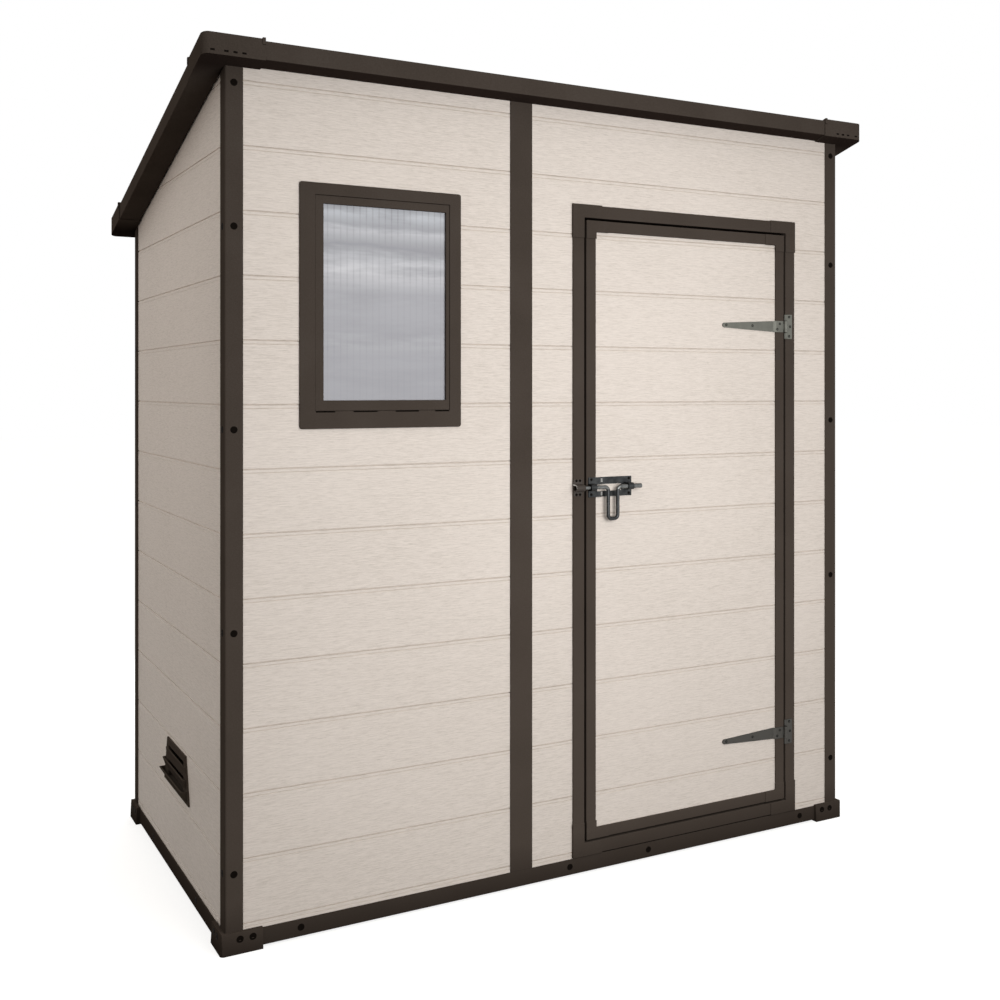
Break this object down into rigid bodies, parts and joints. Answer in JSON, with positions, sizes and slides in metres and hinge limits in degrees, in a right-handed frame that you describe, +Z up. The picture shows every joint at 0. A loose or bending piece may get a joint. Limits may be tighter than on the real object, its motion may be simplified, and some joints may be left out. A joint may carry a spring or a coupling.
{
  "type": "garden shed",
  "caption": "Pent garden shed of slotted moulded panels with boarded walls, a sloping roof with boxed eaves, a fixed fluted window and a hinged door with a sliding bolt.",
  "frame": {"origin": "on the ground, under the middle of the overall box", "axes": "+X along the front to the viewer's right, +Y from the front to the rear, +Z up; the front faces -Y"},
  "size_m": [1.846, 1.14, 1.992],
  "materials": {
    "panel_resin": "beige resin, moulded wood grain",
    "trim_resin": "dark brown resin, satin",
    "hardware_steel": "dark coated steel",
    "fluted_glazing": "translucent twin-wall sheet"
  },
  "bodies": {
    "shed": {"floor": "trim_resin", "base_rails": "trim_resin", "corner_feet": "trim_resin", "corner_post_front_left": "trim_resin", "corner_post_front_right": "trim_resin", "corner_post_rear_left": "trim_resin", "corner_post_rear_right": "trim_resin", "centre_post_front": "trim_resin", "centre_post_rear": "trim_resin", "front_wall_left": "panel_resin", "front_wall_latch_side": "panel_resin", "front_wall_hinge_side": "panel_resin", "front_wall_over_door": "panel_resin", "left_wall": "panel_resin", "right_wall": "panel_resin", "rear_wall_left": "panel_resin", "rear_wall_right": "panel_resin", "door_jamb_latch_side": "trim_resin", "door_jamb_hinge_side": "trim_resin", "door_head": "trim_resin", "door_sill": "trim_resin", "door_surround_corners": "trim_resin", "window_frame": "trim_resin", "window_sash": "trim_resin", "window_pane": "fluted_glazing", "left_vent": "trim_resin", "right_vent": "trim_resin", "roof_panel_left": "trim_resin", "roof_panel_right": "trim_resin", "roof_joint_strip": "trim_resin", "roof_fascia_front": "trim_resin", "roof_fascia_rear": "trim_resin", "roof_fascia_left": "trim_resin", "roof_fascia_right": "trim_resin", "roof_corner_caps": "trim_resin", "hinge_plates": "hardware_steel", "latch_keeper": "hardware_steel"},
    "door": {"door_panel": "panel_resin", "door_stile_latch_side": "trim_resin", "door_stile_hinge_side": "trim_resin", "door_rail_top": "trim_resin", "door_rail_bottom": "trim_resin", "door_corners": "trim_resin", "hinge_straps": "hardware_steel", "latch_plate": "hardware_steel"},
    "bolt": {"latch_bolt": "hardware_steel"}
  },
  "joints": [
    {"name": "door_swing", "type": "hinge", "parent": "shed", "child": "door", "pos_m": [0.6745, -0.53, 0.836], "axis": [0, 0, 1], "range_deg": [0, 160]},
    {"name": "bolt_slide", "type": "slide", "parent": "door", "child": "bolt", "axis": [-1, 0, 0], "range_m": [0, 0.025]}
  ]
}
